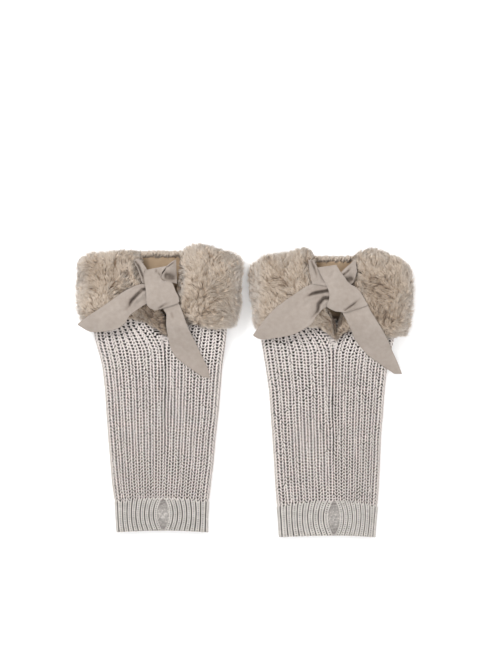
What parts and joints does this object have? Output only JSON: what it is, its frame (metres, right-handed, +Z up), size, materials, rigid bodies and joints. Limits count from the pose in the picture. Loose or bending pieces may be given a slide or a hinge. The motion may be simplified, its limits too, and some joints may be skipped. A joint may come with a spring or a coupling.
{
  "type": "leg warmer pair",
  "caption": "Ribbed knit leg warmers laid flat side by side, with faux fur cuffs and wide ribbon ties knotted at the front.",
  "frame": {"origin": "centre of the bounding box's underside, on the surface that the pair lies on", "axes": "+X across the pair to the right one, +Y from the ankles to the fur cuffs, +Z up off the surface towards the fronts"},
  "size_m": [0.4052, 0.353, 0.0421],
  "materials": {
    "knit": "chunky half-cardigan knit in a light grey-beige acrylic yarn",
    "ankle_rib": "fine rib knit in the same yarn",
    "fur": "short dense beige faux rabbit fur",
    "lining": "smooth tan knitted backing",
    "ribbon": "matt taupe woven ribbon"
  },
  "bodies": {
    "root": {"leg_knit_left": "knit", "ankle_rib_left": "ankle_rib", "fur_cuff_left": "fur", "cuff_lining_left": "lining", "tie_root_l_left": "ribbon", "tie_root_r_left": "ribbon", "tie_knot_left": "ribbon", "tie_tail_l_left": "ribbon", "tie_tail_r_left": "ribbon", "leg_knit_right": "knit", "ankle_rib_right": "ankle_rib", "fur_cuff_right": "fur", "cuff_lining_right": "lining", "tie_root_l_right": "ribbon", "tie_root_r_right": "ribbon", "tie_knot_right": "ribbon", "tie_tail_l_right": "ribbon", "tie_tail_r_right": "ribbon"}
  },
  "joints": []
}
